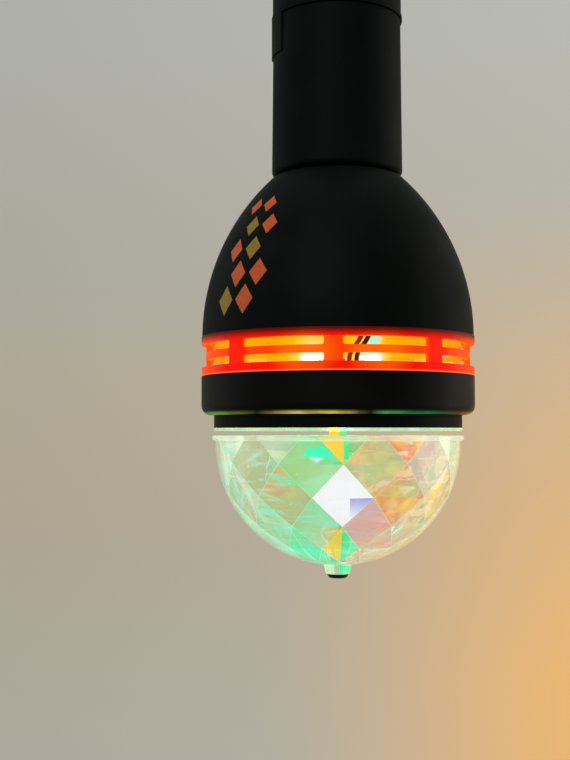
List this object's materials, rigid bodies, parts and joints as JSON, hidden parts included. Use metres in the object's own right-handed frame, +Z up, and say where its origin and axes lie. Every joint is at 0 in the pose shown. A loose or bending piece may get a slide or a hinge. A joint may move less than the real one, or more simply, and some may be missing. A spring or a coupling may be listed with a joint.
{
  "type": "disco light",
  "caption": "Hanging disco light: screw-base lamp with a glowing vent ring and a motor-turned faceted crystal dome, in a pendant lamp holder",
  "frame": {"origin": "centre of the cord entry's mouth, on the top face of the lamp holder's cap", "axes": "+Z up along the lamp's axis, out of the cord entry; the front of the lamp faces -Y and +X is to the right of it"},
  "size_m": [0.08, 0.08, 0.1846],
  "materials": {
    "holder_plastic": "black moulded thermoplastic, fine satin grain",
    "housing_plastic": "black moulded ABS, matte",
    "orange_plastic": "translucent orange moulded plastic, lit from inside",
    "crystal_plastic": "clear moulded polycarbonate with polished facets",
    "lens_plastic": "clear acrylic sheet",
    "ceramic_block": "unglazed steatite",
    "brass": "bare stamped brass",
    "nickel": "nickel-plated rolled thread",
    "steel": "bright zinc-plated steel",
    "black_screw_steel": "black oxide steel",
    "vitrite": "black glass insulator",
    "solder": "tinned contact",
    "white_board": "white solder mask on aluminium",
    "green_board": "green solder mask on glass-epoxy",
    "led_red": "lit red emitter",
    "led_green": "lit green emitter",
    "led_blue": "lit blue emitter",
    "led_warm": "lit warm emitter",
    "led_cool": "lit cool emitter",
    "gear_plastic": "natural acetal",
    "spindle_plastic": "white acetal rod",
    "motor_plastic": "white moulded nylon",
    "ferrite": "dark sintered ferrite",
    "copper": "enamelled copper on laminations",
    "capacitor_sleeve": "dark shrink sleeve",
    "yellow_tape": "yellow winding tape over ferrite",
    "red_epoxy": "dipped red epoxy",
    "black_epoxy": "moulded black epoxy",
    "brown_insulation": "brown soft insulation",
    "blue_insulation": "blue soft insulation",
    "red_insulation": "red soft insulation",
    "black_insulation": "black soft insulation"
  },
  "bodies": {
    "holder": {"holder_cap": "holder_plastic", "holder_mantle": "holder_plastic", "terminal_block": "ceramic_block", "socket_shell": "brass", "centre_spring": "brass", "side_contact": "brass", "terminal_screws": "steel"},
    "eyelet": {"base_eyelet": "solder"},
    "bulb": {"base_shell": "nickel", "base_insulator": "vitrite", "upper_housing": "housing_plastic", "vent_ring": "orange_plastic", "lower_bezel": "housing_plastic", "led_carrier": "housing_plastic", "cover_lens": "lens_plastic", "led_board": "white_board", "red_led": "led_red", "green_led": "led_green", "blue_led": "led_blue", "led_screws": "steel", "accent_board": "white_board", "accent_leds_warm": "led_warm", "accent_leds_cool": "led_cool", "accent_screws": "steel", "accent_reflector": "motor_plastic", "gear_plate": "steel", "top_plate": "steel", "plate_spacers": "brass", "plate_screws": "steel", "motor_can": "steel", "motor_end_cap": "motor_plastic", "motor_magnets": "ferrite", "idler_pin": "steel", "spindle_bush": "brass", "driver_board": "green_board", "driver_screws": "steel", "smoothing_capacitor": "capacitor_sleeve", "transformer": "yellow_tape", "film_capacitor": "red_epoxy", "rectifier": "black_epoxy", "live_wire": "brown_insulation", "neutral_wire": "blue_insulation", "red_lead": "red_insulation", "black_lead": "black_insulation"},
    "dome": {"output_gear": "gear_plastic", "spindle": "spindle_plastic", "crystal_dome": "crystal_plastic", "dome_screw": "black_screw_steel"},
    "idler": {"idler_gear": "gear_plastic"},
    "rotor": {"motor_rotor": "copper", "motor_pinion": "gear_plastic"}
  },
  "joints": [
    {"name": "bulb_drop", "type": "slide", "parent": "holder", "child": "eyelet", "axis": [0, 0, 1], "range_m": [-0.01653, 0.0002]},
    {"name": "bulb_turn", "type": "hinge", "parent": "eyelet", "child": "bulb", "pos_m": [0, 0, -0.05], "axis": [0, 0, 1], "range_deg": [-1620, 0]},
    {"name": "dome_spin", "type": "hinge", "parent": "bulb", "child": "dome", "pos_m": [0, 0, -0.15], "axis": [0, 0, 1], "continuous": true},
    {"name": "idler_spin", "type": "hinge", "parent": "bulb", "child": "idler", "pos_m": [-0.01503, 0, -0.131], "axis": [0, 0, 1], "continuous": true},
    {"name": "rotor_spin", "type": "hinge", "parent": "bulb", "child": "rotor", "pos_m": [-0.00851, 0.01128, -0.12], "axis": [0, 0, 1], "continuous": true}
  ],
  "couplings": [
    {"joint": "bulb_drop", "follows": "bulb_turn", "m_per_rad": 0.00057757},
    {"joint": "idler_spin", "follows": "dome_spin", "ratio": -4},
    {"joint": "rotor_spin", "follows": "dome_spin", "ratio": 13.333}
  ]
}
